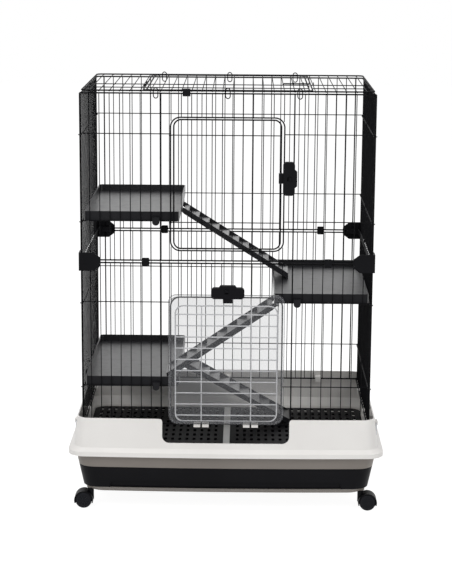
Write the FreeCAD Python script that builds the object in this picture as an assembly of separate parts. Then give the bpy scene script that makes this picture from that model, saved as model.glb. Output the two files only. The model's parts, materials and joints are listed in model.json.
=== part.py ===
"""Small animal cage on casters: wire panels, doors, platforms and ramps over a base with a litter drawer.

Millimetres. The floor is z = 0, the front faces -Y, and the origin is on the floor under the middle.
"""
import FreeCAD, Part
import math
import os

V = FreeCAD.Vector
X_AXIS = V(1, 0, 0)
Y_AXIS = V(0, 1, 0)
Z_AXIS = V(0, 0, 1)
ORIGIN = V(0, 0, 0)

# Wires
wire_pitch = 25.4
upright_wire = 2.2
cross_wire = 2.5
rail_wire = 3.8
frame_wire = 3.6
post_wire = 3.5

# Wire panels: the weld plane is where uprights and cross wires touch
post_offset = 365.0
weld_plane = 233.9
panel_height = 418.5
rail_gap = 7.0
cross_margin = 100.0
side_inset = 9.9
edge_gap = 6.0
wire_step = 3.0
hook_play = 0.3

# Door openings in the front panels, and the upper door
opening_half_width = 141.0
opening_corner = 24.0
upper_opening_margin = 26.0
upper_opening_head = 58.5
ramp_opening_head = 86.0
hinge_play = 0.15
door_gap = 8.0
door_end_gap = 5.5
door_corner = 18.0
eye_start = 90.0
eye_end = 320.0

# Roof
roof_lift = 6.5
roof_side_inset = 4.0
roof_corner = 15.0
roof_opening_half_width = 209.5
roof_opening_inset = 10.0
roof_front_cross = 115.0
roof_middle_cross = 25.0
loop_play = 0.2
loop_drop = 12.0
loop_turn = 60.0
loop_pitch_counts = (-7, 0, 7)
roof_clip_pitch_count = -4
roof_clip_width = 19.0
roof_clip_depth = 12.0
roof_clip_drop = 7.0
roof_clip_rise = 5.0
roof_clip_round = 2.0
clip_play = 0.1

# Roof bolt
roof_bolt_wire = 3.5
roof_bolt_tip_gap = 5.0
roof_bolt_length = 66.0
roof_bolt_handle = 24.0
roof_bolt_bend = 6.0
guide_wire = 2.2
guide_play = 0.1

# Latches
latch_gap = 0.55
latch_depth = 13.0
latch_round = 9.0
latch_face_round = 2.0
latch_wall = 4.0
latch_play = 0.3
latch_travel = 4.5
latch_knob = 6.0
latch_knob_reach = 3.7
latch_knob_length = 9.0
latch_toe_reach = 4.5
latch_toe = 3.2
latch_leg = 6.0
latch_hump_base = 45.0
latch_hump_top = 36.0
latch_hump_rise = 5.5
bolt_release = 0.5
upper_latch_lap = 3.0
upper_latch_width = 29.5
upper_latch_length = 84.0
upper_latch_rise = 184.5
upper_bolt_width = 16.0
upper_bolt_length = 29.0
upper_bolt_toe_length = 20.0
clamp_wall = 3.6
clamp_lap = 0.5
clamp_length = 24.5
clamp_back = 3.5
clamp_height = 7.7
clamp_play = 0.05
ramp_latch_middle = 3.0
ramp_latch_width = 84.0
ramp_latch_lap = 9.5
ramp_latch_height = 29.0
ramp_latch_tongue_width = 24.0
ramp_latch_tongue_drop = 10.5
ramp_latch_tongue_depth = 5.0
ramp_bolt_width = 20.0
ramp_bolt_height = 13.0
ramp_bolt_gap = 0.5

# Ramp door
ramp_door_gap = 1.35
ramp_door_lap = 6.0
ramp_door_foot_gap = 2.0
ramp_door_top_lap = 7.5
ramp_door_bottom_corner = 26.0
ramp_door_top_corner = 20.0
ramp_door_sheet = 2.5
ramp_door_rim = 8.0
ramp_door_rim_depth = 5.9
ramp_door_rim_round = 2.4
grid_frame_wire = 3.5
grid_wire = 3.0
grid_side_inset = 18.0
grid_foot_gap = 0.25
grid_head_inset = 29.5
grid_corner = 20.0
grid_upright_place = 63.0
grid_rungs = 10
grid_rung_foot = 14.5
grid_rung_head = 23.0
hinge_clip_width = 17.0
hinge_clip_gap = 4.5
hinge_clip_drop = 7.0
hinge_clip_rise = 7.0
hinge_clip_back = 6.0
hinge_clip_play = 0.15

# Corner connectors and joiner clips between the upper and lower panels
connector_clear = 0.5
connector_sheet = 4.0
connector_run = 55.0
connector_full_run = 38.0
connector_side_run = 46.0
connector_height = 46.0
connector_end_height = 20.0
connector_round = 3.0
tongue_play = 0.3
tongue_head = 2.5
tongue_head_height = 14.0
tongue_margin = 8.0
joiner_width = 18.0
joiner_height = 22.0
joiner_sheet = 3.5
joiner_tongue_width = 12.0
front_joiner_pitch_counts = (-8, 10)
back_joiner_pitch_counts = (-7, 10)

# Platforms
platform_inner = 120.0
platform_side_gap = 2.45
platform_front_gap = 3.4
platform_height = 25.0
platform_wall = 3.0
platform_floor = 3.0
platform_skirt = 4.5
platform_corner = 10.0
platform_sink = 2.0
hook_width = 18.0
hook_height = 8.0
hook_sheet = 3.5
hook_drop = 12.0
hook_clear = 0.3
hook_round = 8.5
front_hook_pitch_count = 7
side_hook_pitch_count = 4
upper_ramp_place = 90.0
middle_ramp_place = -140.0
lower_ramp_place = 108.0

# Ramps
ramp_width = 100.0
ramp_body_start = 11.0
ramp_first = 23.0
ramp_first_drop = 7.5
ramp_tread = 26.4
ramp_rise = 16.9
ramp_riser = 12.0
ramp_depth = 15.5
ramp_stringer = 4.0
ramp_sheet = 2.0
ramp_lip = 0.5
ramp_knuckle = 5.0
ramp_foot_gap = 0.3
ramp_rim_clear = 2.5
pin_diameter = 4.0
pin_play = 0.08
pin_inset = 8.0
pin_drop = 10.0
ear_sheet = 4.0
ear_play = 0.4
ear_margin = 3.0

# Base
base_turn_rise = 13.0
base_height = 101.5
base_corner = 42.0
base_top_bow = 10.0
base_turn_bow = 9.0
base_bottom_bow = 8.0
base_side_taper = 17.0
base_front_taper = 13.0
foot_side_taper = 14.0
foot_front_taper = 12.0
base_wall = 3.0
base_floor = 3.5
drawer_front_height = 57.0
drawer_play = 0.5
drawer_side_gap = 5.0
drawer_wrap_gap = 1.0
drawer_front_wall = 6.0
drawer_back_gap = 7.0
drawer_wall = 2.5
drawer_height = 51.0
recess_end = 39.0
recess_height = 18.0
recess_depth = 5.0
runner_width = 6.0
runner_inset = 86.0
runner_end = 22.0
runner_play = 0.3
socket_radius = 10.0
socket_height = 33.0

# Skirt
rim_height = 11.5
rim_corner = 42.0
rim_bow = 10.0
rim_side_flare = 14.0
rim_front_flare = 6.0
rim_side_lap = 19.0
rim_front_lap = 10.0
flange_height = 22.5
flange_corner = 38.0
flange_bow = 8.0
skirt_height = 100.0
skirt_corner = 31.0
skirt_bow = 6.0
skirt_side_gap = 16.0
skirt_front_gap = 20.1
skirt_side_flare = 10.0
skirt_front_flare = 4.0
skirt_wall = 3.0
groove_height = 8.0
groove_gap = 0.5
cut_side_gap = 15.0
cut_rise = 37.5
cut_bottom_round = 18.0
cut_top_round = 8.0
leg_gap = 3.0
leg_wall = 3.0
ledge_drop = 10.5
ledge_width = 30.0
ledge_sheet = 3.0
rail_rise = 82.5
seat_width = 16.0
seat_drop = 10.0
seat_rise = 5.0
seat_inside = 3.5
seat_play = 0.1
seat_mouth = 3.4
front_seat_pitch_counts = (-10, 10)
back_seat_pitch_counts = (-10, 0, 10)
side_seat_pitch_counts = (-4, 4)

# Floor grids and centre beam
grid_plate = 4.0
grid_plate_gap = 5.0
grid_plate_corner = 30.0
slot_width = 8.0
slot_length = 22.0
slot_pitch_across = 19.0
slot_pitch_along = 41.0
slot_margin = 10.0
beam_width = 17.0
beam_play = 0.3
beam_end_gap = 12.0
beam_flange_width = 33.0
beam_flange_sheet = 3.5
beam_flange_gap = 4.0
beam_rib_width = 4.0
beam_rib_height = 15.0

# Side bails on the skirt
bail_place = -120.0
bail_rise = 58.5
bail_stand = 1.8
bail_wire = 3.0
bail_width = 30.0
bail_length = 31.0
bail_bend = 5.0
bail_play = 0.1
bracket_width = 18.0
bracket_height = 12.0
bracket_cover = 2.5
bracket_depth = 12.0

# Casters
stem_side_inset = 4.0
stem_front_inset = 35.0
stem_diameter = 8.0
stem_play = 0.05
stem_top_gap = 2.0
stem_bottom_gap = 0.4
stem_depth = 11.5
caster_trail = 18.0
wheel_radius = 21.0
wheel_width = 13.4
wheel_round = 2.5
wheel_gap = 0.6
axle_diameter = 5.0
axle_play = 0.05
axle_inset = 1.0
hood_clear = 1.0
hood_sheet = 2.5
hood_overhang = 1.0
hood_drop = 7.5
hood_web = 6.0
hood_boss_radius = 8.0
hood_boss_rise = 7.0
hood_top_gap = 0.5

# One overrun for all cuts, and the slack within which points and planes are the same
overrun = 5.0
same_point = 1e-6
front_slack = 1e-3

# Heights, from the floor up
hood_radius = wheel_radius + hood_clear + hood_sheet
hood_top = wheel_radius + hood_radius + hood_boss_rise
base_bottom = hood_top + hood_top_gap
base_turn = base_bottom + base_turn_rise
base_top = base_bottom + base_height
drawer_gap_top = base_turn + drawer_front_height
skirt_top = base_top + skirt_height
ledge_top = base_top - ledge_drop + ledge_sheet
grid_top = ledge_top + grid_plate
bottom_rail_height = base_top + rail_rise
lower_top = bottom_rail_height + panel_height
upper_bottom = lower_top + rail_gap
upper_top = upper_bottom + panel_height
joint_height = (lower_top + upper_bottom) / 2
lower_crosses = (bottom_rail_height + cross_margin, lower_top - cross_margin)
upper_crosses = (upper_bottom + cross_margin, upper_top - cross_margin)
upper_opening_low = upper_bottom + upper_opening_margin
upper_opening_high = upper_top - upper_opening_head
ramp_opening_high = lower_top - ramp_opening_head
ramp_door_low = bottom_rail_height + ramp_door_foot_gap
ramp_door_high = ramp_opening_high + ramp_door_top_lap
grid_low = bottom_rail_height + hinge_clip_rise + grid_foot_gap + grid_frame_wire / 2
grid_high = ramp_door_high - grid_head_inset
roof_plane = upper_top + roof_lift - rail_wire / 2
upper_level = upper_crosses[0] - platform_sink
middle_level = lower_crosses[1] - platform_sink
lower_level = lower_crosses[0] - platform_sink
tray_floor_rise = platform_skirt + platform_floor

# Places of the wires and doors, from the middle out
rail_depth = weld_plane - rail_wire / 2
post_depth = weld_plane + post_wire / 2
side_edge = weld_plane - side_inset
hook_radius = (post_wire + cross_wire) / 2 + hook_play
side_plane = post_offset - hook_radius + cross_wire / 2
loop_depth = frame_wire / 2 + hinge_play
loop_front = loop_depth + frame_wire / 2
latch_clear = loop_front + latch_gap
ramp_door_clear = loop_front + ramp_door_gap
ramp_door_half_width = opening_half_width + ramp_door_lap
roof_half_width = post_offset - roof_side_inset
roof_half_depth = rail_depth
roof_opening_half_depth = roof_half_depth - roof_opening_inset
roof_crosses = (-roof_front_cross, -roof_middle_cross)
roof_bolt_place = sum(roof_crosses) / 2
bolt_lift = upright_wire + roof_bolt_wire / 2 + guide_play + guide_wire
platform_outer = side_plane - cross_wire - platform_side_gap
platform_half_depth = weld_plane - cross_wire - platform_front_gap



def grown(size, side, front, corner, bow):
    """A tub outline that is wider and deeper than another, or smaller where side and front are negative."""
    return size[0] + side, size[1] + front, corner, bow


# Tub outlines, each as half width, half depth, corner radius and bow of the front and back
skirt_top_size = (post_offset + skirt_side_gap, weld_plane + skirt_front_gap, skirt_corner, skirt_bow)
flange_size = grown(skirt_top_size, skirt_side_flare, skirt_front_flare, flange_corner, flange_bow)
rim_size = grown(flange_size, rim_side_flare, rim_front_flare, rim_corner, rim_bow)
base_top_size = grown(rim_size, -rim_side_lap, -rim_front_lap, base_corner, base_top_bow)
base_turn_size = grown(base_top_size, -base_side_taper, -base_front_taper, base_corner, base_turn_bow)
base_bottom_size = grown(base_turn_size, -foot_side_taper, -foot_front_taper, base_corner, base_bottom_bow)

# Places in and on the tub
leg_inset = base_wall + leg_gap + leg_wall
leg_half_width = base_top_size[0] - leg_inset
leg_half_depth = base_top_size[1] - leg_inset
bail_offset = flange_size[0] + bail_stand
bail_height = base_top + bail_rise
stem_x = base_bottom_size[0] - stem_side_inset
stem_y = base_bottom_size[1] - stem_front_inset
drawer_half_width = stem_x - socket_radius - drawer_side_gap
drawer_wrap = stem_y + socket_radius + drawer_wrap_gap
drawer_room = base_turn_size[1] - base_turn_bow
drawer_front_inside = drawer_room - drawer_front_wall
drawer_back = drawer_room - base_wall - drawer_back_gap
wheel_reach = hood_web / 2 + wheel_gap + wheel_width
caster_corners = {
    (-1, -1): "front_left",
    (1, -1): "front_right",
    (-1, 1): "back_left",
    (1, 1): "back_right",
}


# Basic shapes

def rod(start, end, diameter):
    """A straight round wire between two points."""
    run = end - start
    return Part.makeCylinder(diameter / 2, run.Length, start, run)


def block(low, high):
    """A box between two corners."""
    size = high - low
    return Part.makeBox(size.x, size.y, size.z, low)


def moved(shape, offset):
    """A copy of a shape, shifted."""
    copy = shape.copy()
    copy.translate(offset)
    return copy


def turned(shape, point, axis, angle):
    """A copy of a shape, turned about an axis."""
    copy = shape.copy()
    copy.rotate(point, axis, angle)
    return copy


def joined(shapes):
    """Several shapes fused into one solid."""
    return shapes[0].multiFuse(shapes[1:]).removeSplitter()


def corner_arc(before, corner, after, radius):
    """Start, middle and end of the tangent arc that rounds a corner."""
    back = (before - corner).normalize()
    ahead = (after - corner).normalize()
    half_angle = back.getAngle(ahead) / 2
    reach = radius / math.tan(half_angle)
    inward = (back + ahead).normalize()
    middle = corner + inward * (radius / math.sin(half_angle) - radius)
    return corner + back * reach, middle, corner + ahead * reach


def wire_path(points, radius, closed=False):
    """Straight runs through the points, joined by tangent arcs of one radius or of one each."""
    count = len(points)
    corners = range(count) if closed else range(1, count - 1)
    radii = radius if isinstance(radius, list) else [radius] * count
    arcs = [corner_arc(points[i - 1], points[i], points[(i + 1) % count], radii[i]) for i in corners]
    edges = []
    here = arcs[-1][2] if closed else points[0]
    for start, middle, end in arcs:
        if not here.isEqual(start, same_point):
            edges.append(Part.LineSegment(here, start).toShape())
        edges.append(Part.Arc(start, middle, end).toShape())
        here = end
    if not closed:
        edges.append(Part.LineSegment(here, points[-1]).toShape())
    return Part.Wire(edges)


def swept_wire(path, diameter):
    """A round wire along a path."""
    first = path.OrderedEdges[0]
    start = first.valueAt(first.FirstParameter)
    heading = first.tangentAt(first.FirstParameter)
    section = Part.Wire(Part.makeCircle(diameter / 2, start, heading))
    return path.makePipeShell([section], True, False)


def upright_outline(half_width, low, high, radii, depth):
    """A rounded rectangle that stands in the X and Z plane."""
    points = [
        V(-half_width, depth, low),
        V(-half_width, depth, high),
        V(half_width, depth, high),
        V(half_width, depth, low),
    ]
    return wire_path(points, radii, closed=True)


def edges_along(shape, axis):
    """The straight edges of a shape that run along an axis."""
    found = []
    for edge in shape.Edges:
        run = edge.valueAt(edge.LastParameter) - edge.valueAt(edge.FirstParameter)
        if run.Length > same_point and run.cross(axis).Length < same_point:
            found.append(edge)
    return found


def edges_at_front(shape):
    """The edges that lie in the frontmost plane of a shape."""
    front = shape.BoundBox.YMin
    return [edge for edge in shape.Edges if edge.BoundBox.YMax < front + front_slack]


# Wire panels stand in the X and Z plane, with the weld plane at y = 0 and the outside towards -Y

def upright(across, low, high, diameter):
    """A wire that stands on the outer side of the weld plane."""
    depth = -diameter / 2
    return rod(V(across, depth, low), V(across, depth, high), diameter)


def crossing(left, right, height, diameter):
    """A wire that runs across on the inner side of the weld plane."""
    depth = diameter / 2
    return rod(V(left, depth, height), V(right, depth, height), diameter)


def pairs_within(edge):
    """How many pairs of uprights stand at half a pitch and on from the middle, inside an edge."""
    return int(edge / wire_pitch + 1 / 2)


def upright_place(pair):
    """How far from the middle a pair of uprights stands."""
    return (pair + 1 / 2) * wire_pitch


def opening_loop(half_width, low, high, closed=True):
    """The heavier wire that frames an opening, closed or standing on the rail below it."""
    points = [
        V(-half_width, -loop_depth, low),
        V(-half_width, -loop_depth, high),
        V(half_width, -loop_depth, high),
        V(half_width, -loop_depth, low),
    ]
    return swept_wire(wire_path(points, opening_corner, closed), frame_wire)


def loop_meeting(across, half_width, edge, way):
    """Height at which an upright meets a loop's edge; way is 1 above the loop and -1 below it."""
    beyond = abs(across) - (half_width - opening_corner)
    if beyond <= 0:
        return edge + way * frame_wire / 2
    reach = opening_corner + (frame_wire + upright_wire) / 2
    return edge + way * (math.sqrt(reach ** 2 - beyond ** 2) - opening_corner)


def wire_field(edge, low, high, crosses, heavy_pair=None, opening=None):
    """Uprights and cross wires between two rails, stopped round an opening of half width, low and high."""
    wires = []
    for pair in range(pairs_within(edge - edge_gap)):
        diameter = post_wire if pair == heavy_pair else upright_wire
        for across in (-upright_place(pair), upright_place(pair)):
            if opening is None or abs(across) > opening[0]:
                wires.append(upright(across, low, high, diameter))
                continue
            wires.append(upright(across, loop_meeting(across, opening[0], opening[2], 1), high, diameter))
            if opening[1] > low:
                wires.append(upright(across, low, loop_meeting(across, opening[0], opening[1], -1), diameter))
    for height in crosses:
        if opening is None:
            wires.append(crossing(-edge, edge, height, cross_wire))
            continue
        stop = opening[0] + frame_wire / 2
        wires.append(crossing(-edge, -stop, height, cross_wire))
        wires.append(crossing(stop, edge, height, cross_wire))
    return wires


def rails_and_posts(edge, low, high):
    """The rails and edge posts of a panel."""
    wires = [crossing(-edge, edge, height, rail_wire) for height in (low, high)]
    wires += [upright(side * edge, low, high, post_wire) for side in (-1, 1)]
    return wires


def front_panel(low, high, crosses, opening):
    """A front panel, whose wires stop round its door opening."""
    wires = rails_and_posts(post_offset, low, high)
    heavy_pair = pairs_within(opening[0])
    wires += wire_field(post_offset, low, high, crosses, heavy_pair, opening)
    return wires


def back_panel(low, high, crosses):
    """A plain back panel."""
    wires = rails_and_posts(post_offset, low, high)
    heavy_pair = pairs_within(post_offset - edge_gap) - 1
    return wires + wire_field(post_offset, low, high, crosses, heavy_pair)


def hooked_crossing(height):
    """A side panel's cross wire, whose ends curl round the posts of the front and back panels."""
    inner = cross_wire / 2
    middle = inner - hook_radius
    outer = middle - hook_radius
    bend = post_depth + hook_radius
    right = [V(post_depth, outer, height), V(bend, middle, height), V(post_depth, inner, height)]
    left = [V(-point.x, point.y, height) for point in right[::-1]]
    edges = [
        Part.Arc(*right).toShape(),
        Part.LineSegment(right[-1], left[0]).toShape(),
        Part.Arc(*left).toShape(),
    ]
    return swept_wire(Part.Wire(edges), cross_wire)


def side_panel(low, high, crosses):
    """A side panel, whose cross wires lie one step below those of the front."""
    wires = rails_and_posts(side_edge, low, high)
    wires += wire_field(side_edge, low, high, ())
    return wires + [hooked_crossing(height - wire_step) for height in crosses]


def roof_panel(opening):
    """The roof's field of wires round the door opening, and the bolt's keeper."""
    keeper = bolt_ring(pairs_within(roof_opening_half_width))
    reach = roof_half_depth - rail_wire / 2
    return [keeper] + wire_field(roof_half_width, -reach, reach, roof_crosses, None, opening)


def roof_rim():
    """The rail round the roof."""
    outline = upright_outline(roof_half_width, -roof_half_depth, roof_half_depth, roof_corner, -rail_wire / 2)
    return swept_wire(outline, rail_wire)


def eyed_crossing(half_width, hinge_place, height):
    """A door's cross wire, whose end curls into an eye round the opening's hinge wire."""
    inner = cross_wire / 2
    radius = inner + loop_depth
    angles = [math.radians(angle) for angle in (eye_start, (eye_start + eye_end) / 2, eye_end)]
    turn = [V(math.cos(angle), math.sin(angle), 0) * radius for angle in angles]
    centre = V(-hinge_place, -loop_depth, height)
    edges = [
        Part.LineSegment(V(half_width, inner, height), centre + turn[0]).toShape(),
        Part.Arc(centre + turn[0], centre + turn[1], centre + turn[2]).toShape(),
    ]
    return swept_wire(Part.Wire(edges), cross_wire)


def wire_door(hinge_place, low, high, crosses):
    """A wire door in its opening, hinged on the opening's left wire."""
    half_width = hinge_place - door_gap
    bottom = low + door_end_gap
    top = high - door_end_gap
    loop = upright_outline(half_width, bottom, top, door_corner, -rail_wire / 2)
    wires = [swept_wire(loop, rail_wire)]
    for pair in range(pairs_within(half_width - edge_gap)):
        for across in (-upright_place(pair), upright_place(pair)):
            wires.append(upright(across, bottom + rail_wire / 2, top - rail_wire / 2, upright_wire))
    return wires + [eyed_crossing(half_width, hinge_place, height - wire_step) for height in crosses]


def bolt_ring(pair):
    """A wire ring that stands on a roof wire and guides the roof bolt."""
    radius = (roof_bolt_wire + guide_wire) / 2 + guide_play
    centre = V(upright_place(pair), -bolt_lift, roof_bolt_place)
    return Part.makeTorus(radius, guide_wire / 2, centre, X_AXIS)


def roof_bolt():
    """The roof door's wire bolt, drawn back, with its bent handle."""
    tip = roof_opening_half_width - roof_bolt_tip_gap
    tail = tip - roof_bolt_length
    points = [
        V(tip, -bolt_lift, roof_bolt_place),
        V(tail, -bolt_lift, roof_bolt_place),
        V(tail, -bolt_lift, roof_bolt_place - roof_bolt_handle),
    ]
    return swept_wire(wire_path(points, roof_bolt_bend), roof_bolt_wire)


def roof_loop(across):
    """A wire loop round a panel's top rail and the roof's frame."""
    half_width = ((rail_wire + cross_wire) / 2 + loop_play) / math.cos(math.radians(loop_turn))
    low = upper_top - loop_drop
    high = upper_top + roof_lift + half_width
    points = [
        V(0, -half_width, low),
        V(0, -half_width, high),
        V(0, half_width, high),
        V(0, half_width, low),
    ]
    loop = swept_wire(wire_path(points, half_width, closed=True), cross_wire)
    return moved(turned(loop, ORIGIN, Z_AXIS, loop_turn), V(across, 0, 0))


def roof_clip():
    """The block that clips the roof's frame to the front top rail."""
    middle = roof_clip_pitch_count * wire_pitch
    half = V(roof_clip_width / 2, roof_clip_depth / 2, 0)
    low = V(middle, -rail_depth, upper_top - roof_clip_drop) - half
    high = V(middle, -rail_depth, upper_top + roof_lift + roof_clip_rise) + half
    clip = block(low, high)
    clip = clip.makeFillet(roof_clip_round, edges_along(clip, X_AXIS))
    for height in (upper_top, upper_top + roof_lift):
        reach = V(roof_clip_width, 0, 0)
        rail = V(middle, -rail_depth, height)
        clip = clip.cut(rod(rail - reach, rail + reach, rail_wire + 2 * clip_play))
    return clip


# Latches, in the plane of the front panels

def latch_hump(middle, along, outward):
    """The raised middle of a latch housing's outer edge, with sloped ends."""
    base = along * (latch_hump_base / 2)
    top = along * (latch_hump_top / 2)
    rise = outward * latch_hump_rise
    points = [middle - base, middle - top + rise, middle + top + rise, middle + base]
    return Part.Face(Part.makePolygon(points + points[:1])).extrude(V(0, latch_depth, 0))


def latch_case(low, high, hump):
    """A latch housing's block with rounded corners, its hump and a softened face."""
    case = block(low, high)
    case = case.makeFillet(latch_round, edges_along(case, Y_AXIS))
    case = joined([case, hump])
    return case.makeFillet(latch_face_round, edges_at_front(case))


def upper_latch():
    """Housing and bolt of the upper door's latch; the bolt slides towards -X."""
    back = -latch_clear
    face = back - latch_depth
    pocket_face = face + latch_wall
    half_length = V(0, 0, upper_latch_length / 2)
    half_bolt = V(0, 0, upper_bolt_length / 2)
    half_toe = V(0, 0, upper_bolt_toe_length / 2)
    half_knob = V(0, 0, latch_knob_length / 2)
    half_clamp = V(0, 0, clamp_length / 2)
    play = V(latch_play, 0, latch_play)
    travel = V(latch_travel, 0, 0)
    middle = upper_opening_low + upper_latch_rise
    case_left = opening_half_width - upper_latch_lap
    door_edge = opening_half_width - door_gap
    toe_left = opening_half_width + frame_wire / 2 + bolt_release
    leg_left = toe_left + latch_travel - bolt_release / 2
    knob_left = leg_left + (upper_bolt_width - latch_knob) / 2

    low = V(case_left, face, middle) - half_length
    high = V(case_left + upper_latch_width, back, middle) + half_length
    clamp = block(
        V(door_edge - rail_wire / 2 - clamp_wall, back - clamp_height, middle) - half_clamp,
        V(case_left + clamp_lap, clamp_back, middle) + half_clamp,
    )
    hump = latch_hump(V(case_left + upper_latch_width, face, middle), Z_AXIS, X_AXIS)
    housing = joined([latch_case(low, high, hump), clamp])
    wire_foot = V(door_edge, -rail_wire / 2, middle)
    housing = housing.cut(rod(wire_foot - half_length, wire_foot + half_length, rail_wire + 2 * clamp_play))
    slider_low = V(leg_left, pocket_face + latch_play, middle) - half_bolt
    slider_high = V(leg_left + upper_bolt_width, back - latch_play, middle) + half_bolt
    knob_low = V(knob_left, face - latch_knob_reach, middle) - half_knob
    knob_high = V(knob_left + latch_knob, pocket_face + latch_play, middle) + half_knob
    sink = V(0, latch_play, 0)
    housing = housing.cut(block(slider_low - play - travel - sink, slider_high + play + sink))
    housing = housing.cut(block(knob_low - play - travel, knob_high + play))

    leg = block(
        V(leg_left, back - latch_play, middle) - half_toe,
        V(leg_left + latch_leg, latch_toe_reach, middle) + half_toe,
    )
    toe = block(
        V(toe_left, latch_toe_reach - latch_toe, middle) - half_toe,
        V(leg_left, latch_toe_reach, middle) + half_toe,
    )
    bolt = joined([block(slider_low, slider_high), block(knob_low, knob_high), leg, toe])
    return housing, bolt


def ramp_latch(door_panel):
    """Housing and bolt of the ramp door's latch; the bolt slides down."""
    back = -latch_clear
    face = back - latch_depth
    pocket_face = face + latch_wall
    rim_face = -(ramp_door_clear + ramp_door_rim_depth)
    half_width = V(ramp_latch_width / 2, 0, 0)
    half_tongue = V(ramp_latch_tongue_width / 2, 0, 0)
    half_bolt = V(ramp_bolt_width / 2, 0, 0)
    half_knob = V(latch_knob_length / 2, 0, 0)
    play = V(latch_play, 0, latch_play)
    travel = V(0, 0, latch_travel)
    case_low = ramp_door_high - ramp_latch_lap
    tongue_low = case_low - ramp_latch_tongue_drop
    toe_low = ramp_opening_high + frame_wire / 2 + bolt_release
    bolt_low = ramp_door_high + latch_travel + ramp_bolt_gap
    knob_low_edge = bolt_low + (ramp_bolt_height - latch_knob) / 2

    low = V(ramp_latch_middle, face, case_low) - half_width
    high = V(ramp_latch_middle, back, case_low + ramp_latch_height) + half_width
    tongue = block(
        V(ramp_latch_middle, rim_face - ramp_latch_tongue_depth, tongue_low) - half_tongue,
        V(ramp_latch_middle, rim_face, case_low + latch_round) + half_tongue,
    )
    hump = latch_hump(V(ramp_latch_middle, face, case_low + ramp_latch_height), X_AXIS, Z_AXIS)
    housing = joined([latch_case(low, high, hump), tongue]).cut(door_panel)
    slider_low = V(0, pocket_face + latch_play, bolt_low) - half_bolt
    slider_high = V(0, back - latch_play, bolt_low + ramp_bolt_height) + half_bolt
    knob_low = V(0, face - latch_knob_reach, knob_low_edge) - half_knob
    knob_high = V(0, pocket_face + latch_play, knob_low_edge + latch_knob) + half_knob
    sink = V(0, latch_play, 0)
    housing = housing.cut(block(slider_low - play - travel - sink, slider_high + play + sink))
    housing = housing.cut(block(knob_low - play - travel, knob_high + play))

    leg = block(
        V(0, back - latch_play, bolt_low) - half_bolt,
        V(0, latch_toe_reach, bolt_low + latch_leg) + half_bolt,
    )
    toe = block(
        V(0, latch_toe_reach - latch_toe, toe_low) - half_bolt,
        V(0, latch_toe_reach, bolt_low) + half_bolt,
    )
    bolt = joined([block(slider_low, slider_high), block(knob_low, knob_high), leg, toe])
    return housing, bolt


# Ramp door, in the plane of the front panels

def ramp_door_panel():
    """The clear sheet with its raised rim."""
    radii = [ramp_door_bottom_corner, ramp_door_top_corner, ramp_door_top_corner, ramp_door_bottom_corner]
    outer = upright_outline(ramp_door_half_width, ramp_door_low, ramp_door_high, radii, -ramp_door_clear)
    inner = upright_outline(
        ramp_door_half_width - ramp_door_rim,
        ramp_door_low + ramp_door_rim,
        ramp_door_high - ramp_door_rim,
        [radius - ramp_door_rim for radius in radii],
        -ramp_door_clear,
    )
    sheet = Part.Face(inner).extrude(V(0, -ramp_door_sheet, 0))
    rim = Part.Face(outer).cut(Part.Face(inner)).extrude(V(0, -ramp_door_rim_depth, 0))
    rim = rim.makeFillet(ramp_door_rim_round, edges_at_front(rim))
    return joined([rim.Solids[0], sheet])


def ramp_door_grid():
    """The white wire grid on the inner face of the clear sheet."""
    half_width = ramp_door_half_width - grid_side_inset
    frame_depth = ramp_door_clear - grid_frame_wire / 2
    back = ramp_door_clear - grid_frame_wire
    upright_depth = back + grid_wire / 2
    rung_depth = back - grid_wire / 2
    frame = upright_outline(half_width, grid_low, grid_high, grid_corner, -frame_depth)
    wires = [swept_wire(frame, grid_frame_wire)]
    for side in (-1, 1):
        foot = V(side * grid_upright_place, -upright_depth, grid_low + grid_frame_wire / 2)
        head = V(side * grid_upright_place, -upright_depth, grid_high - grid_frame_wire / 2)
        wires.append(rod(foot, head, grid_wire))
    spacing = (grid_high - grid_rung_head - grid_low - grid_rung_foot) / (grid_rungs - 1)
    for rung in range(grid_rungs):
        height = grid_low + grid_rung_foot + rung * spacing
        wires.append(rod(V(-half_width, -rung_depth, height), V(half_width, -rung_depth, height), grid_wire))
    return wires


def hinge_clips():
    """Four clips that turn on the bottom rail, in pairs."""
    rail = V(0, rail_wire / 2, bottom_rail_height)
    clips = []
    for pair_place in (-grid_upright_place, grid_upright_place):
        for side in (-1, 1):
            middle = pair_place + side * (hinge_clip_gap + hinge_clip_width) / 2
            low = V(middle - hinge_clip_width / 2, -ramp_door_clear, bottom_rail_height - hinge_clip_drop)
            high = V(middle + hinge_clip_width / 2, hinge_clip_back, bottom_rail_height + hinge_clip_rise)
            reach = V(hinge_clip_width, 0, 0)
            centre = rail + V(middle, 0, 0)
            bore = rod(centre - reach, centre + reach, rail_wire + 2 * hinge_clip_play)
            clips.append(block(low, high).cut(bore))
    return clips


# Connectors between upper and lower panels

def rail_tongue(left, right, plate_back):
    """A tongue between the two rails, with a head behind them."""
    half = (rail_gap - rail_wire) / 2 - tongue_play
    head = rail_wire + tongue_play
    back = head + tongue_head
    tongue = block(V(left, -plate_back, joint_height - half), V(right, back, joint_height + half))
    plate = block(
        V(left, head, joint_height - tongue_head_height / 2),
        V(right, back, joint_height + tongue_head_height / 2),
    )
    return [tongue, plate]


def joiner_clip(across):
    """A clip that holds the two rails together."""
    back = post_wire + connector_clear
    plate = block(
        V(across - joiner_width / 2, -back - joiner_sheet, joint_height - joiner_height / 2),
        V(across + joiner_width / 2, -back, joint_height + joiner_height / 2),
    )
    plate = plate.makeFillet(connector_round, edges_along(plate, Y_AXIS))
    half = joiner_tongue_width / 2
    return joined([plate] + rail_tongue(across - half, across + half, back))


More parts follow.
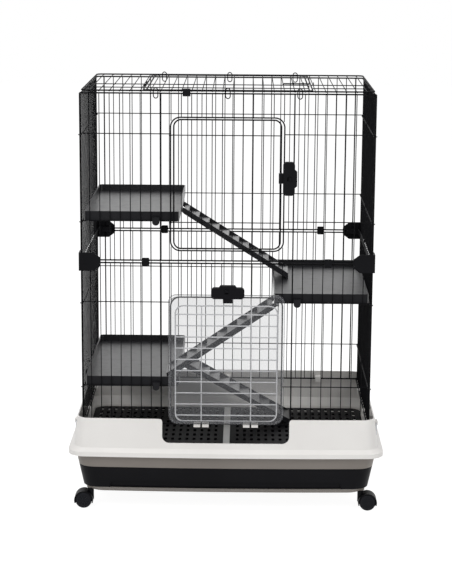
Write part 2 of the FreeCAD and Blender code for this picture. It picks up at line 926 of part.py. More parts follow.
def connector_wing(outer, run, back):
    """One wing of a corner connector: full height at the corner, then a blunt chevron."""
    full = connector_height / 2
    end = connector_end_height / 2
    depth = -back
    points = [
        V(outer, depth, joint_height - full),
        V(outer - connector_full_run, depth, joint_height - full),
        V(outer - run, depth, joint_height - end),
        V(outer - run, depth, joint_height + end),
        V(outer - connector_full_run, depth, joint_height + full),
        V(outer, depth, joint_height + full),
    ]
    plate = Part.Face(Part.makePolygon(points + points[:1])).extrude(V(0, -connector_sheet, 0))
    return [plate] + rail_tongue(outer - run + tongue_margin, outer - connector_sheet - tongue_margin, back)


def corner_connector():
    """The connector of the front right corner."""
    back = post_wire + connector_clear
    outer_x = post_offset + post_wire / 2 + connector_clear + connector_sheet
    outer_y = weld_plane + back + connector_sheet
    side_back = outer_x - connector_sheet - side_plane
    front = [moved(shape, V(0, -weld_plane, 0)) for shape in connector_wing(outer_x, connector_run, back)]
    wing = connector_wing(outer_y, connector_side_run, side_back)
    side = at_side([shape.mirror(ORIGIN, X_AXIS) for shape in wing], 1)
    return joined(front + side)


# Platforms and ramps

def platform(ramp_place):
    """A platform on the left side with its bottom at z = 0, and the ears that hold a ramp's pin."""
    low = V(-platform_outer, -platform_half_depth, 0)
    high = V(-platform_inner, platform_half_depth, platform_height)
    wall = V(platform_wall, platform_wall, 0)
    body = block(low, high)
    body = body.makeFillet(platform_corner, edges_along(body, Z_AXIS))
    pocket = block(low + wall + V(0, 0, tray_floor_rise), high - wall + V(0, 0, overrun))
    under = block(low + wall - V(0, 0, overrun), V(high.x, high.y, platform_skirt) - wall)
    inner_corner = platform_corner - platform_wall
    for hollow in (pocket, under):
        body = body.cut(hollow.makeFillet(inner_corner, edges_along(hollow, Z_AXIS)))
    return joined([body] + platform_hooks() + pin_ears(ramp_place))


def platform_hook(wall_place, tab_place, under):
    """A hook over a cross wire, built for the -Y side with its middle at x = 0."""
    half = hook_width / 2
    arm_top = under + hook_height
    arm = block(V(-half, -tab_place - hook_sheet, under), V(half, -wall_place, arm_top))
    tab = block(V(-half, -tab_place - hook_sheet, under - hook_drop), V(half, -tab_place, arm_top))
    bottom = [edge for edge in edges_along(tab, Y_AXIS) if edge.CenterOfMass.z < under]
    return [arm, tab.makeFillet(hook_round, bottom)]


def platform_hooks():
    """Hooks on the front and back cross wires and on the side panel's."""
    clear = cross_wire / 2 + hook_clear
    front_under = platform_sink + clear
    side_under = front_under - wire_step
    front_tab = weld_plane + upright_wire + hook_clear
    side_tab = side_plane + upright_wire + hook_clear
    front = platform_hook(platform_half_depth - platform_wall, front_tab, front_under)
    side = platform_hook(platform_outer - platform_wall, side_tab, side_under)
    shapes = []
    for shape in front:
        for turn in (0, 180):
            shapes.append(moved(turned(shape, ORIGIN, Z_AXIS, turn), V(-front_hook_pitch_count * wire_pitch, 0, 0)))
    for shape in side:
        for place in (-side_hook_pitch_count, side_hook_pitch_count):
            shapes.append(moved(turned(shape, ORIGIN, Z_AXIS, -90), V(0, place * wire_pitch, 0)))
    return shapes


def pin_ears(ramp_place):
    """Two ears under a platform's inner end, bored for the ramp's pin."""
    half_ear = pin_diameter / 2 + pin_play + ear_margin
    near = ramp_width / 2 + ear_play
    ears = []
    for side in (-1, 1):
        edges = sorted((ramp_place + side * near, ramp_place + side * (near + ear_sheet)))
        centre = V(-platform_inner - pin_inset, ramp_place, -pin_drop)
        ear = block(
            V(centre.x - half_ear, edges[0], centre.z - half_ear),
            V(centre.x + half_ear + ear_margin, edges[1], tray_floor_rise - platform_floor / 2),
        )
        reach = V(0, ramp_width, 0)
        ears.append(ear.cut(rod(centre - reach, centre + reach, pin_diameter + 2 * pin_play)))
    return ears


def ramp_pin():
    """The pin of one ramp, about the origin."""
    half = V(0, ramp_width / 2 + ear_play + ear_sheet, 0)
    return rod(-half, half, pin_diameter)


def ramp_nosing(step):
    """The front edge of one tread as moulded, seen from the ramp's pin."""
    return V(ramp_first + step * ramp_tread, 0, -ramp_first_drop - step * ramp_rise)


def ramp_foot(treads):
    """The lowest point of a ramp as moulded, seen from its pin."""
    return ramp_nosing(treads - 1) - V(0, 0, ramp_depth)


def ramp(treads):
    """A stepped ramp as moulded, running down towards +X from its pin at the origin."""
    depth = V(0, 0, ramp_depth)
    lip = V(0, 0, ramp_lip)
    riser = V(0, 0, ramp_riser)
    before = ramp_first - ramp_body_start
    head = ramp_nosing(0) + V(-before, 0, before * ramp_rise / ramp_tread)
    stringer_points = [
        V(0, 0, -ramp_knuckle),
        head - depth,
        ramp_foot(treads),
        ramp_nosing(treads - 1) + lip,
        head + lip,
        V(0, 0, ramp_knuckle),
    ]
    half = V(0, ramp_width / 2, 0)
    plate = Part.Face(Part.makePolygon(stringer_points + stringer_points[:1]))
    thickness = V(0, ramp_stringer, 0)
    stringer = joined([plate.extrude(thickness), rod(ORIGIN, thickness, 2 * ramp_knuckle)])
    stringer = stringer.cut(rod(-thickness, thickness + thickness, pin_diameter + 2 * pin_play))
    upper = [ramp_nosing(0) + V(-before, 0, before * (ramp_rise - ramp_riser) / ramp_tread)]
    for step in range(treads):
        upper.append(ramp_nosing(step))
        upper.append(ramp_nosing(step) - riser)
    lower = [point - V(ramp_sheet, 0, ramp_sheet) for point in upper[1:-1]]
    end = upper[-1] - V(ramp_sheet, 0, 0)
    outline = upper + [end] + lower[::-1] + [upper[0] - V(0, 0, ramp_sheet)]
    stair = Part.Face(Part.makePolygon(outline + outline[:1])).extrude(half + half)
    sides = [moved(stringer, -half), moved(stringer, half - thickness)]
    return joined(sides + [moved(stair, -half)])


def tread_count(run, drop):
    """The fewest treads with which a ramp from its pin spans a run and a drop."""
    treads = 1
    while ramp_foot(treads).Length < math.hypot(run, drop):
        treads += 1
    return treads


def hung_ramp(treads, drop):
    """A ramp turned on its pin until its foot is on a floor that lies a drop below the pin."""
    foot = ramp_foot(treads)
    moulded = math.atan2(-foot.z, foot.x)
    needed = math.asin((drop - ramp_foot_gap) / foot.Length)
    return turned(ramp(treads), ORIGIN, Y_AXIS, math.degrees(needed - moulded))


# Base, drawer and skirt

def tub_outline(size, height, inset=0):
    """A closed outline with straight sides, rounded corners and a bowed front and back."""
    half_width, half_depth, corner, bow = size
    half_width -= inset
    half_depth -= inset
    corner -= inset
    bow_radius = (half_width ** 2 + bow ** 2) / (2 * bow)
    bow_centre = half_depth - bow_radius
    corner_x = half_width - corner
    corner_y = bow_centre + math.sqrt((bow_radius - corner) ** 2 - corner_x ** 2)
    outward = V(corner_x, corner_y - bow_centre, 0).normalize()
    touch = V(corner_x, corner_y, 0) + outward * corner
    middle = V(corner_x, corner_y, 0) + (outward + X_AXIS).normalize() * corner

    def at(point, x_sign, y_sign):
        return V(point.x * x_sign, point.y * y_sign, height)

    side = V(half_width, corner_y, 0)
    bulge = V(0, half_depth, 0)
    edges = [
        Part.LineSegment(at(side, 1, -1), at(side, 1, 1)).toShape(),
        Part.Arc(at(side, 1, 1), at(middle, 1, 1), at(touch, 1, 1)).toShape(),
        Part.Arc(at(touch, 1, 1), at(bulge, 1, 1), at(touch, -1, 1)).toShape(),
        Part.Arc(at(touch, -1, 1), at(middle, -1, 1), at(side, -1, 1)).toShape(),
        Part.LineSegment(at(side, -1, 1), at(side, -1, -1)).toShape(),
        Part.Arc(at(side, -1, -1), at(middle, -1, -1), at(touch, -1, -1)).toShape(),
        Part.Arc(at(touch, -1, -1), at(bulge, 1, -1), at(touch, 1, -1)).toShape(),
        Part.Arc(at(touch, 1, -1), at(middle, 1, -1), at(side, 1, -1)).toShape(),
    ]
    return Part.Wire(edges)


def tub_loft(sections):
    """A solid through tub outlines, each given as size, height and inset."""
    return Part.makeLoft([tub_outline(*section) for section in sections], True, True)


def tub_ring(outer_size, outer_inset, inner_size, inner_inset, low, high):
    """A flat ring between two tub outlines."""
    outer = Part.Face(tub_outline(outer_size, low, outer_inset))
    inner = Part.Face(tub_outline(inner_size, low, inner_inset))
    return outer.cut(inner).extrude(V(0, 0, high - low)).Solids[0]


def base_outside(inset=0):
    """The outer form of the base, or the same form drawn in."""
    sections = [
        (base_bottom_size, base_bottom, inset),
        (base_turn_size, base_turn, inset),
        (base_top_size, base_top, inset),
    ]
    return tub_loft(sections)


def base_inside():
    """The hollow of the base."""
    sections = [
        (base_bottom_size, base_bottom + base_floor, 0),
        (base_turn_size, base_turn, base_wall),
        (base_top_size, base_top, base_wall),
    ]
    return tub_loft(sections)


def front_slice(low, high, back):
    """A block that takes in the front of the base between two heights."""
    half_width = rim_size[0]
    return block(V(-half_width, -rim_size[1], low), V(half_width, -back, high))


def base_tub():
    """The base with its drawer gap, runners and caster sockets."""
    body = base_outside().cut(base_inside()).cut(front_slice(base_turn, drawer_gap_top, drawer_wrap))
    pieces = [body]
    half_length = drawer_back - runner_end
    for side in (-1, 1):
        middle = side * (drawer_half_width - runner_inset)
        low = V(middle - runner_width / 2, -half_length, base_bottom + base_floor / 2)
        high = V(middle + runner_width / 2, half_length, base_turn + drawer_play - runner_play)
        pieces.append(block(low, high))
    for corner in caster_corners:
        foot = V(corner[0] * stem_x, corner[1] * stem_y, base_bottom)
        pieces.append(rod(foot, foot + V(0, 0, socket_height), 2 * socket_radius))
    body = joined(pieces)
    for corner in caster_corners:
        foot = V(corner[0] * stem_x, corner[1] * stem_y, base_bottom)
        top = foot + V(0, 0, socket_height + overrun)
        body = body.cut(rod(foot - V(0, 0, overrun), top, stem_diameter + 2 * stem_play))
    return body


def litter_drawer():
    """The drawer: a front that wraps the base's corners, and the tray behind it."""
    low = base_turn + drawer_play
    outside = base_outside()
    wall = outside.cut(base_inside())
    front = wall.common(front_slice(low, drawer_gap_top - drawer_play, drawer_wrap + drawer_play))
    tray_corner = V(drawer_half_width, drawer_back, low + drawer_height)
    tray = block(V(-drawer_half_width, -rim_size[1], low), tray_corner).common(outside)
    hollow = block(
        V(drawer_wall - drawer_half_width, -drawer_front_inside, low + drawer_wall),
        V(drawer_half_width - drawer_wall, drawer_back - drawer_wall, base_top),
    )
    drawer = joined([front.Solids[0], tray]).cut(hollow)
    half_recess = drawer_half_width - recess_end
    recess = block(V(-half_recess, -rim_size[1], base_bottom), V(half_recess, 0, low + recess_height))
    upper_edges = [edge for edge in edges_along(recess, Y_AXIS) if edge.CenterOfMass.z > low]
    recess = recess.makeFillet(recess_height / 2, upper_edges)
    return drawer.cut(recess.cut(base_outside(recess_depth)))


def skirt_outside():
    """The outer form of the skirt."""
    sections = [
        (rim_size, base_top),
        (rim_size, base_top + rim_height),
        (flange_size, base_top + flange_height),
        (skirt_top_size, skirt_top),
    ]
    return tub_loft(sections)


def skirt_cut():
    """The cut-out below the ramp door."""
    half_width = ramp_door_half_width + cut_side_gap
    wide = half_width + 2 * cut_top_round + overrun
    above = skirt_top + overrun
    depth = -rim_size[1] - overrun
    left = [V(-half_width, depth, base_top + cut_rise), V(-half_width, depth, skirt_top)]
    left += [V(-wide, depth, skirt_top), V(-wide, depth, above)]
    right = [V(-point.x, point.y, point.z) for point in left[::-1]]
    corner = overrun / 2
    radii = [cut_bottom_round, cut_top_round, corner, corner]
    path = wire_path(left + right, radii + radii[::-1], closed=True)
    return Part.Face(path).extrude(V(0, rim_size[1] + overrun - weld_plane, 0))


def rail_seat(across, plane):
    """A seat for a bottom rail, built for the -Y side of a rail whose weld plane lies that far out."""
    rail = V(across, rail_wire / 2 - plane, bottom_rail_height)
    half = V(seat_width / 2, 0, 0)
    low = V(across, -rim_size[0], bottom_rail_height - seat_drop) - half
    high = V(across, rail.y + seat_inside, bottom_rail_height + seat_rise) + half
    mouth = V(0, seat_mouth / 2, 0)
    groove = rod(rail - half, rail + half, rail_wire + 2 * seat_play)
    gap = block(rail - half - mouth, rail + half + mouth + V(0, 0, seat_rise))
    return block(low, high).cut(groove.fuse(gap))


def rail_seats():
    """All the seats on the skirt's inner wall."""
    seats = [rail_seat(place * wire_pitch, weld_plane) for place in front_seat_pitch_counts]
    back = [rail_seat(place * wire_pitch, weld_plane) for place in back_seat_pitch_counts]
    seats += [turned(seat, ORIGIN, Z_AXIS, 180) for seat in back]
    for place in side_seat_pitch_counts:
        seat = rail_seat(place * wire_pitch, side_plane)
        seats += [turned(seat, ORIGIN, Z_AXIS, turn) for turn in (-90, 90)]
    return seats


def tub_skirt():
    """The skirt: wall, flange, inner leg and ledge, rail seats and front cut-out."""
    outside = skirt_outside()
    sections = [
        (base_top_size, base_top, leg_inset),
        (flange_size, base_top + flange_height, skirt_wall),
        (skirt_top_size, skirt_top, skirt_wall),
    ]
    wall = outside.cut(tub_loft(sections))
    groove = tub_ring(rim_size, skirt_wall, base_top_size, -groove_gap, base_top, base_top + groove_height)
    wall = wall.cut(groove)
    leg_low = base_top - ledge_drop
    leg = tub_ring(base_top_size, leg_inset - leg_wall, base_top_size, leg_inset, leg_low, base_top)
    ledge = tub_ring(base_top_size, leg_inset, base_top_size, leg_inset + ledge_width, leg_low, ledge_top)
    seats = [seat.common(outside) for seat in rail_seats()]
    return joined([wall.Solids[0], leg, ledge] + seats).cut(skirt_cut())


def floor_grid():
    """The right floor grid with its rows of slots."""
    inner = beam_width / 2 + beam_play
    outer = leg_half_width - grid_plate_gap
    half = leg_half_depth - base_top_bow - grid_plate_gap
    corners = [
        V(inner, -half, ledge_top),
        V(inner, half, ledge_top),
        V(outer, half, ledge_top),
        V(outer, -half, ledge_top),
    ]
    radii = [grid_plate, grid_plate, grid_plate_corner, grid_plate_corner]
    outline = wire_path(corners, radii, closed=True)
    across_room = outer - inner - 2 * slot_margin - slot_width
    along_room = 2 * half - 2 * slot_margin - slot_length
    across_count = int(across_room / slot_pitch_across) + 1
    along_count = int(along_room / slot_pitch_along) + 1
    middle = (inner + outer) / 2
    slots = []
    for column in range(across_count):
        for row in range(along_count):
            centre = V(
                middle + (column - (across_count - 1) / 2) * slot_pitch_across,
                (row - (along_count - 1) / 2) * slot_pitch_along,
                ledge_top,
            )
            slots.append(slot_outline(centre))
    return Part.Face([outline] + slots).extrude(V(0, 0, grid_plate))


def slot_outline(centre):
    """One slot of a floor grid, with round ends."""
    half_width = slot_width / 2
    half_length = slot_length / 2
    points = [
        centre + V(-half_width, -half_length, 0),
        centre + V(-half_width, half_length, 0),
        centre + V(half_width, half_length, 0),
        centre + V(half_width, -half_length, 0),
    ]
    return wire_path(points, half_width, closed=True)


def centre_beam():
    """The beam between the floor grids, with a flange that carries their edges."""
    half_length = leg_half_depth - beam_end_gap
    bar = block(V(-beam_width / 2, -half_length, ledge_top), V(beam_width / 2, half_length, grid_top))
    flange_low = ledge_top - beam_flange_sheet
    flange_half = leg_half_depth - ledge_width - beam_flange_gap
    flange = block(
        V(-beam_flange_width / 2, -flange_half, flange_low),
        V(beam_flange_width / 2, flange_half, ledge_top),
    )
    rib = block(
        V(-beam_rib_width / 2, -flange_half, flange_low - beam_rib_height),
        V(beam_rib_width / 2, flange_half, flange_low),
    )
    return joined([bar, flange, rib])


def side_bail():
    """The wire bail of the right side, hanging from its bracket."""
    half = bail_width / 2
    low = bail_height - bail_length
    points = [
        V(bail_offset, bail_place - half, low),
        V(bail_offset, bail_place - half, bail_height),
        V(bail_offset, bail_place + half, bail_height),
        V(bail_offset, bail_place + half, low),
    ]
    return swept_wire(wire_path(points, bail_bend, closed=True), bail_wire)


def bail_bracket():
    """The bracket on the right side of the skirt that holds the bail."""
    axis = V(bail_offset, bail_place, bail_height)
    half = V(0, bracket_width / 2, bracket_height / 2)
    cover = V(bail_wire / 2 + bail_play + bracket_cover, 0, 0)
    bracket = block(axis - V(bracket_depth, 0, 0) - half, axis + cover + half)
    outer_edges = [edge for edge in edges_along(bracket, Y_AXIS) if edge.CenterOfMass.x > bail_offset]
    bracket = bracket.makeFillet(bracket_cover, outer_edges)
    reach = V(0, bracket_width, 0)
    bracket = bracket.cut(rod(axis - reach, axis + reach, bail_wire + 2 * bail_play))
    return bracket.cut(skirt_outside())


# Casters, built about a stem at x = 0 and y = 0, with the wheels trailing towards +X

def caster_hood():
    """The hood over the wheels, the web between them and the boss for the stem."""
    axle = V(caster_trail, 0, wheel_radius)
    half = V(0, wheel_reach + hood_overhang, 0)
    web_half = V(0, hood_web / 2, 0)
    inner_radius = wheel_radius + hood_clear
    drum = rod(axle - half, axle + half, 2 * hood_radius)
    boss_top = V(0, 0, hood_top)
    boss = rod(V(0, 0, wheel_radius), boss_top, 2 * hood_boss_radius)
    hood = joined([drum, boss])
    for side in (-1, 1):
        hood = hood.cut(rod(axle + web_half * side, axle + half * (2 * side), 2 * inner_radius))
    below = half + V(hood_radius + overrun, overrun, 0)
    hood = hood.cut(block(axle - below - V(0, 0, hood_radius), axle + below - V(0, 0, hood_drop)))
    bore_foot = boss_top - V(0, 0, stem_depth)
    hood = hood.cut(rod(bore_foot, boss_top + V(0, 0, overrun), stem_diameter + 2 * stem_play))
    return hood.cut(rod(axle - half, axle + half, axle_diameter))


def caster_wheels():
    """The two wheels of one caster."""
    wheels = []
    for side in (-1, 1):
        near = V(caster_trail, side * (hood_web / 2 + wheel_gap), wheel_radius)
        far = V(caster_trail, side * wheel_reach, wheel_radius)
        wheel = rod(near, far, 2 * wheel_radius)
        rims = [edge for edge in wheel.Edges if edge.Closed]
        wheel = wheel.makeFillet(wheel_round, rims)
        reach = far - near
        wheels.append(wheel.cut(rod(near - reach, far + reach, axle_diameter + 2 * axle_play)))
    return wheels


def caster_axle():
    """The axle of one caster."""
    axle = V(caster_trail, 0, wheel_radius)
    half = V(0, wheel_reach - axle_inset, 0)
    return rod(axle - half, axle + half, axle_diameter)


def caster_stem():
    """The stem that goes from a hood up into the base."""
    foot = V(0, 0, hood_top - stem_depth + stem_bottom_gap)
    return rod(foot, V(0, 0, base_bottom + socket_height - stem_top_gap), stem_diameter)


# Writing the pieces

def save(name, shapes):
    """Writes one node, of one solid or of several."""
    shapes = shapes if isinstance(shapes, list) else [shapes]
    solids = [solid for shape in shapes for solid in shape.Solids]
    piece = solids[0] if len(solids) == 1 else Part.makeCompound(solids)
    piece.exportStep("parts/" + name + ".step")


def at_front(shapes):
    """Shapes from the panel plane, placed at the front."""
    return [moved(shape, V(0, -weld_plane, 0)) for shape in shapes]


def at_back(shapes):
    """Shapes from the panel plane, placed at the back."""
    return [turned(shape, ORIGIN, Z_AXIS, 180) for shape in at_front(shapes)]


def at_side(shapes, side):
    """Shapes from the panel plane, placed at the left (-1) or the right (1)."""
    return [moved(turned(shape, ORIGIN, Z_AXIS, side * 90), V(side * side_plane, 0, 0)) for shape in shapes]


def at_roof(shapes):
    """Shapes from the panel plane, laid on the roof with their outside up."""
    return [moved(turned(shape, ORIGIN, X_AXIS, -90), V(0, 0, roof_plane)) for shape in shapes]


def raised(shape, height):
    """A shape that was built at z = 0, at its height."""
    return moved(shape, V(0, 0, height))


def write_panels():
    """Writes the wire panels, the roof and what holds it."""
    upper_opening = (opening_half_width, upper_opening_low, upper_opening_high)
    ramp_opening = (opening_half_width, bottom_rail_height, ramp_opening_high)
    front_upper = front_panel(upper_bottom, upper_top, upper_crosses, upper_opening)
    front_lower = front_panel(bottom_rail_height, lower_top, lower_crosses, ramp_opening)
    save("front_upper_panel", at_front(front_upper))
    save("front_lower_panel", at_front(front_lower))
    save("upper_door_frame", at_front([opening_loop(*upper_opening)]))
    save("ramp_door_frame", at_front([opening_loop(*ramp_opening, closed=False)]))
    save("back_upper_panel", at_back(back_panel(upper_bottom, upper_top, upper_crosses)))
    save("back_lower_panel", at_back(back_panel(bottom_rail_height, lower_top, lower_crosses)))
    upper_side = side_panel(upper_bottom, upper_top, upper_crosses)
    lower_side = side_panel(bottom_rail_height, lower_top, lower_crosses)
    for name, side in (("left", -1), ("right", 1)):
        save(name + "_upper_panel", at_side(upper_side, side))
        save(name + "_lower_panel", at_side(lower_side, side))
    roof_opening = (roof_opening_half_width, -roof_opening_half_depth, roof_opening_half_depth)
    save("roof_panel", at_roof(roof_panel(roof_opening)))
    save("roof_rim", at_roof([roof_rim()]))
    save("roof_door_frame", at_roof([opening_loop(*roof_opening)]))
    places = [place * wire_pitch for place in loop_pitch_counts]
    front_loops = [moved(roof_loop(place), V(0, -rail_depth, 0)) for place in places]
    save("roof_loops", front_loops + [turned(loop, ORIGIN, Z_AXIS, 180) for loop in front_loops])
    save("roof_clip", roof_clip())


def write_connectors():
    """Writes the pieces that join the upper panels to the lower ones."""
    front_right = corner_connector()
    front_left = front_right.mirror(ORIGIN, X_AXIS)
    save("connector_front_right", front_right)
    save("connector_front_left", front_left)
    save("connector_back_left", turned(front_right, ORIGIN, Z_AXIS, 180))
    save("connector_back_right", turned(front_left, ORIGIN, Z_AXIS, 180))
    front = at_front([joiner_clip(place * wire_pitch) for place in front_joiner_pitch_counts])
    back = at_back([joiner_clip(-place * wire_pitch) for place in back_joiner_pitch_counts])
    save("joiner_clips", front + back)


def write_doors():
    """Writes the three doors with their latches."""
    upper_door = wire_door(opening_half_width, upper_opening_low, upper_opening_high, upper_crosses)
    save("upper_door", at_front(upper_door))
    housing, bolt = upper_latch()
    save("upper_latch_housing", at_front([housing]))
    save("upper_latch_bolt", at_front([bolt]))
    panel = ramp_door_panel()
    housing, bolt = ramp_latch(panel)
    save("ramp_door_panel", at_front([panel]))
    save("ramp_door_grid", at_front(ramp_door_grid()))
    save("ramp_door_hinge_clips", at_front(hinge_clips()))
    save("ramp_latch_housing", at_front([housing]))
    save("ramp_latch_bolt", at_front([bolt]))
    half_depth = roof_opening_half_depth
    roof_door = wire_door(roof_opening_half_width, -half_depth, half_depth, roof_crosses)
    guided = pairs_within(roof_opening_half_width - door_gap - edge_gap)
    save("roof_door", at_roof(roof_door + [bolt_ring(pair) for pair in (guided - 2, guided - 1)]))
    save("roof_bolt", at_roof([roof_bolt()]))


def write_platforms():
    """Writes the platforms, each with the ramp that leads down from it."""
    slope = ramp_rise / ramp_tread
    landing = (platform_height - tray_floor_rise + ramp_rim_clear) / slope
    ends = {"upper": landing, "middle": landing, "lower": 0}
    trays = {"upper": middle_level, "middle": lower_level}
    floors = {name: level + tray_floor_rise for name, level in trays.items()}
    floors["lower"] = grid_top
    levels = {"upper": upper_level, "middle": middle_level, "lower": lower_level}
    places = {"upper": upper_ramp_place, "middle": middle_ramp_place, "lower": lower_ramp_place}
    drops = {name: level - pin_drop - floors[name] for name, level in levels.items()}
    span = 2 * platform_inner + pin_inset
    treads = max(tread_count(span + ends[name], drop) for name, drop in drops.items())
    pins = []
    for name in levels:
        turn = 180 if name == "middle" else 0
        side = -1 if name == "middle" else 1
        pin = V(-side * (platform_inner + pin_inset), places[name], levels[name] - pin_drop)
        tray = turned(platform(side * places[name]), ORIGIN, Z_AXIS, turn)
        save(name + "_platform", raised(tray, levels[name]))
        hung = hung_ramp(treads, drops[name])
        save(name + "_ramp", moved(turned(hung, ORIGIN, Z_AXIS, turn), pin))
        pins.append(moved(ramp_pin(), pin))
    save("ramp_pins", pins)


def write_base():
    """Writes the base, the drawer, the skirt, the floor and the bails."""
    save("base_tub", base_tub())
    save("litter_drawer", litter_drawer())
    save("tub_skirt", tub_skirt())
    grid = floor_grid()
    save("floor_grid_right", grid)
    save("floor_grid_left", turned(grid, ORIGIN, Z_AXIS, 180))
    save("centre_beam", centre_beam())
    bail = side_bail()
    bracket = bail_bracket()
    save("side_bail_right", bail)
    save("side_bail_left", bail.mirror(ORIGIN, X_AXIS))
    save("bail_brackets", [bracket, bracket.mirror(ORIGIN, X_AXIS)])


def write_casters():
    """Writes the four casters and their stems."""
    hood = caster_hood()
    wheels = caster_wheels()
    axle = caster_axle()
    stems = []
    for corner, name in caster_corners.items():
        turn = 0 if corner[0] > 0 else 180
        place = V(corner[0] * stem_x, corner[1] * stem_y, 0)
        save("caster_hood_" + name, moved(turned(hood, ORIGIN, Z_AXIS, turn), place))
        save("caster_wheels_" + name, [moved(turned(wheel, ORIGIN, Z_AXIS, turn), place) for wheel in wheels])
        save("caster_axle_" + name, moved(turned(axle, ORIGIN, Z_AXIS, turn), place))
        stems.append(moved(caster_stem(), place))
    save("caster_stems", stems)


os.makedirs("parts", exist_ok=True)
write_panels()
write_connectors()
write_doors()
write_platforms()
write_base()
write_casters()
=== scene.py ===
import json
import math

import bmesh
import bpy
from mathutils import Matrix, Vector

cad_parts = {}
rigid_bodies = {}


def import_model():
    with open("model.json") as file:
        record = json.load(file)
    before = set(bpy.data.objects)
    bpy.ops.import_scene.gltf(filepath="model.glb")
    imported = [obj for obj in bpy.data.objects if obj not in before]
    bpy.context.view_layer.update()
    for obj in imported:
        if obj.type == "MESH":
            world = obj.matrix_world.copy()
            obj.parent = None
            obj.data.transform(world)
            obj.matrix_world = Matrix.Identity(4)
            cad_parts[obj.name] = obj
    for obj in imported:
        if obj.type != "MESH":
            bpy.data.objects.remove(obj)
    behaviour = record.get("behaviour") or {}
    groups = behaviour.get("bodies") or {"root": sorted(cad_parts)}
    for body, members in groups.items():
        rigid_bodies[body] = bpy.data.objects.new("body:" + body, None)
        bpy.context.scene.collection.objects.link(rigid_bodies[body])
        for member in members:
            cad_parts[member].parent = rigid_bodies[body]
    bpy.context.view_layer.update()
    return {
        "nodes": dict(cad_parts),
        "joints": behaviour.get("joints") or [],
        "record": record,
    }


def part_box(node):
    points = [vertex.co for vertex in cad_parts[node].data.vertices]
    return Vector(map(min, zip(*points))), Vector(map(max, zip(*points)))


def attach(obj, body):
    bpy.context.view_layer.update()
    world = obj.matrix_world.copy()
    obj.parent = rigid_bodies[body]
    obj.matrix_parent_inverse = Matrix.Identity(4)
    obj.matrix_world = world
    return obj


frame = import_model()
nodes = frame["nodes"]
joints = {joint["name"]: joint for joint in frame["joints"]}

# Wires, in metres
wire_pitch = 0.0254
weld_plane = 0.2339
side_plane = 0.36295
roof_plane = 1.0856
side_edge = 0.224
wire_step = 0.003
edge_gap = 0.006
rails_lower = (0.237, 0.6555)
rails_upper = (0.6625, 1.081)
crosses_lower = (0.337, 0.5555)
crosses_upper = (0.7625, 0.981)
crosses_roof = (-0.115, -0.025)
roof_rail = 0.232
opening_half_width = 0.141
roof_opening_half_width = 0.2095
roof_opening_half_depth = 0.222
upper_opening = (0.6885, 1.0225)
ramp_opening_top = 0.5695
door_gap = 0.008
door_end_gap = 0.0055
weld_radius = 0.0013
weld_flatness = 0.8
weld_detail = 2

# Ramp door
grid_half_width = 0.129
grid_low = 0.246
grid_high = 0.5475
grid_rungs = 10
grid_rung_foot = 0.0145
grid_rung_head = 0.023
grid_upright = 0.063
grid_weld_depth = 0.0016
panel_rim = 0.008
panel_line = 0.0011
panel_outer_fade = (0.00077, 0.00187)
panel_inner_fade = (0.00055, 0.00132)
panel_top_corner = 0.020
panel_bottom_corner = 0.026
panel_corner_blend = 0.05

# Platforms
tray_inside = 0.2255
tray_edge = 0.001

# Ramps
ramp_first = 0.023
ramp_first_drop = 0.0075
ramp_tread = 0.0264
ramp_rise = 0.0169
ramp_depth = 0.0155
ramp_inside_width = 0.092
nosing_radius = 0.0011
nosing_sides = 8

# Wheels
wheel_reach = 0.017
hub_radius = 0.0145
hub_rise = 0.0011
hub_ring_sides = 24
hub_section_sides = 5
hub_rib_count = 9
hub_rib_length = 0.0085
hub_rib_width = 0.0016
hub_rib_rises = 2
hub_cap_radius = 0.0042
hub_cap_sides = 20
hub_cap_rises = 3

# Finishes, with noise scales in waves per metre and depths in metres
noise_middle = 0.5
coat_cloud_scale = 18.0
coat_cloud_detail = 3.0
coat_peel_scale = 900.0
coat_peel_depth = 0.00012
coat_peel_strength = 0.5
coat_gloss_change = 0.16
flow_scale = 5.0
flow_share = 0.7
tone_range = (0.3, 0.7)
grain_detail = 3.0
grain_roughness = 0.6
grain_strength = 0.6
grain_gloss_change = 0.2
scuff_detail = 4.0
scuff_roughness = 0.7
scuff_range = (0.45, 0.75)
scuff_gloss_change = 0.06
panel_streak_scale = 14.0
panel_streak_detail = 3.0
panel_gloss = 0.07
panel_gloss_change = 0.06
panel_cover = 0.17
panel_rim_clearing = 0.06
panel_line_cover = 0.5
panel_streak_cover = 0.03
panel_inner_line_share = 0.9
tray_grain_scale = 700.0
tray_grain_depth = 0.0002
tray_scuff_scale = 38.0
tray_roughness = 0.4
tray_polish = 0.88
tray_scuff_dulling = 0.12
ramp_grain_scale = 900.0
ramp_grain_depth = 0.00012
ramp_flow_scale = 6.0
ramp_scuff_scale = 52.0
ramp_roughness = 0.42
ramp_scuff_dulling = 0.1
plate_cloud_scale = 160.0
plate_roughness = 0.18
plate_gloss_change = 0.16
steel_cloud_scale = 220.0
steel_roughness = 0.34
steel_gloss_change = 0.14
steel_depth = 0.00003
steel_strength = 0.4
metal_cloud_detail = 3.0

# Stage and light
white = (1.0, 1.0, 1.0, 1.0)
paper_tone = (0.86, 0.86, 0.86, 1.0)
paper_glow = 1.3
paper_glow_share = 0.72
floor_radius = 12.0
floor_sides = 64
world_light = 0.36
lamp_aim = Vector((0.0, 0.0, 0.55))
lamps = (
    {"name": "key", "place": Vector((-1.6, -2.6, 3.4)), "size": 2.4, "power": 74.0},
    {"name": "fill", "place": Vector((2.4, -2.8, 2.2)), "size": 2.4, "power": 37.0},
    {"name": "top", "place": Vector((0.0, 0.4, 3.6)), "size": 2.8, "power": 50.0},
)

# Photograph's camera, fitted to the cage's wires
photo_width = 452
photo_height = 584
focal_pixels = 1729.7
camera_place = Vector((0.046, -4.492, 1.4905))
camera_pitch = math.radians(12.03)
camera_yaw = math.radians(-0.64)
camera_roll = math.radians(0.36)
sensor_size = 36.0


# Node trees

